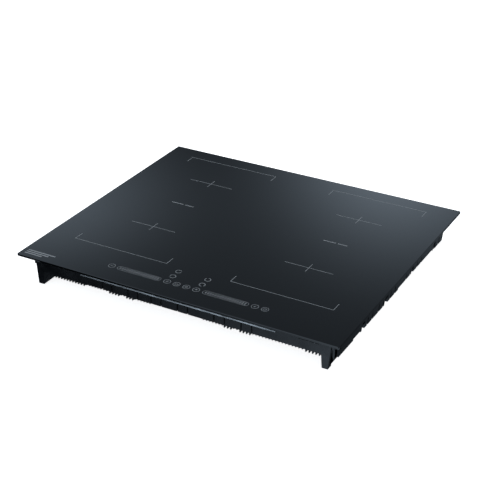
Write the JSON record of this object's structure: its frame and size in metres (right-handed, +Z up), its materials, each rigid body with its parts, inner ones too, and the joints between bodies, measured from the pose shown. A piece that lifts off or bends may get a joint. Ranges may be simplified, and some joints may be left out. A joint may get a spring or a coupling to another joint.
{
  "type": "induction hob",
  "caption": "Flat built-in induction hob: black glass top with printed cooking zones over a shallow stepped housing with coils, blowers and electronics.",
  "frame": {"origin": "middle of the underside, on the surface the tray stands on", "axes": "+X to the right along the width, +Y to the back, +Z up through the glass; the front with the touch controls faces -Y"},
  "size_m": [0.59, 0.52, 0.059],
  "materials": {
    "black_glass": "polished black ceramic glass, opaque",
    "foam_seal": "fine closed-cell foam tape",
    "frame_black": "black satin enamel",
    "tray_plastic": "blue-black moulded plastic, satin",
    "cover_plastic": "black moulded plastic, satin",
    "rubber": "matt",
    "steel": "zinc plated",
    "aluminium": "mill finish",
    "ferrite": "sintered, matt",
    "former_plastic": "glass-filled moulding",
    "copper_litz": "enamelled stranded copper",
    "mica": "pressed mica sheet",
    "circuit_board": "green solder resist",
    "capacitor_red": "epoxy filled box",
    "choke_copper": "enamelled copper windings",
    "blower_plastic": "moulded, satin",
    "terminal_plastic": "off-white moulding",
    "led_white": "milky light guide",
    "screen_print": "pale grey ceramic ink"
  },
  "bodies": {
    "housing": {"glass_top": "black_glass", "glass_seal": "foam_seal", "support_frame": "frame_black", "base_tray": "tray_plastic", "terminal_hinge_pin": "steel", "cable_grommet": "rubber", "tray_screw_front_right": "steel", "tray_screw_rear_right": "steel", "tray_screw_front_left": "steel", "tray_screw_rear_left": "steel", "carrier_spring_left_outer_front": "steel", "carrier_spring_left_outer_rear": "steel", "carrier_spring_left_centre": "steel", "carrier_spring_right_outer_front": "steel", "carrier_spring_right_outer_rear": "steel", "carrier_spring_right_centre": "steel", "power_board_left": "circuit_board", "heat_sink_left": "aluminium", "film_capacitor_left": "capacitor_red", "toroid_choke_left": "choke_copper", "blower_housing_left": "blower_plastic", "power_board_right": "circuit_board", "heat_sink_right": "aluminium", "film_capacitor_right": "capacitor_red", "toroid_choke_right": "choke_copper", "blower_housing_right": "blower_plastic", "filter_board": "circuit_board", "terminal_block": "terminal_plastic", "filter_choke": "choke_copper", "control_carrier": "former_plastic", "control_board": "circuit_board", "slider_led_bar_left": "led_white", "slider_led_bar_right": "led_white"},
    "coil_carrier_left": {"coil_plate_left": "aluminium", "ferrite_star_front_left": "ferrite", "coil_former_front_left": "former_plastic", "coil_winding_front_left": "copper_litz", "mica_disc_front_left": "mica", "temperature_sensor_front_left": "steel", "ferrite_star_rear_left": "ferrite", "coil_former_rear_left": "former_plastic", "coil_winding_rear_left": "copper_litz", "mica_disc_rear_left": "mica", "temperature_sensor_rear_left": "steel"},
    "rotor_left": {"blower_rotor_left": "blower_plastic"},
    "coil_carrier_right": {"coil_plate_right": "aluminium", "ferrite_star_front_right": "ferrite", "coil_former_front_right": "former_plastic", "coil_winding_front_right": "copper_litz", "mica_disc_front_right": "mica", "temperature_sensor_front_right": "steel", "ferrite_star_rear_right": "ferrite", "coil_former_rear_right": "former_plastic", "coil_winding_rear_right": "copper_litz", "mica_disc_rear_right": "mica", "temperature_sensor_rear_right": "steel"},
    "rotor_right": {"blower_rotor_right": "blower_plastic"},
    "terminal_flap": {"terminal_cover": "cover_plastic"}
  },
  "joints": [
    {"name": "coil_carrier_left_slide", "type": "slide", "parent": "housing", "child": "coil_carrier_left", "axis": [0, 0, 1], "range_m": [-0.003, 0], "stiffness_N_per_m": 6000, "springref_m": 0.006, "deforming": ["carrier_spring_left_outer_front", "carrier_spring_left_outer_rear", "carrier_spring_left_centre"]},
    {"name": "rotor_left_spin", "type": "hinge", "parent": "housing", "child": "rotor_left", "pos_m": [-0.13115, 0.185, 0.015], "axis": [0, 0, 1], "continuous": true},
    {"name": "coil_carrier_right_slide", "type": "slide", "parent": "housing", "child": "coil_carrier_right", "axis": [0, 0, 1], "range_m": [-0.003, 0], "stiffness_N_per_m": 6000, "springref_m": 0.006, "deforming": ["carrier_spring_right_outer_front", "carrier_spring_right_outer_rear", "carrier_spring_right_centre"]},
    {"name": "rotor_right_spin", "type": "hinge", "parent": "housing", "child": "rotor_right", "pos_m": [0.13115, 0.185, 0.015], "axis": [0, 0, 1], "continuous": true},
    {"name": "terminal_flap_hinge", "type": "hinge", "parent": "housing", "child": "terminal_flap", "pos_m": [-0.0105, 0.2381, 0.0283], "axis": [1, 0, 0], "range_deg": [0, 95]}
  ]
}
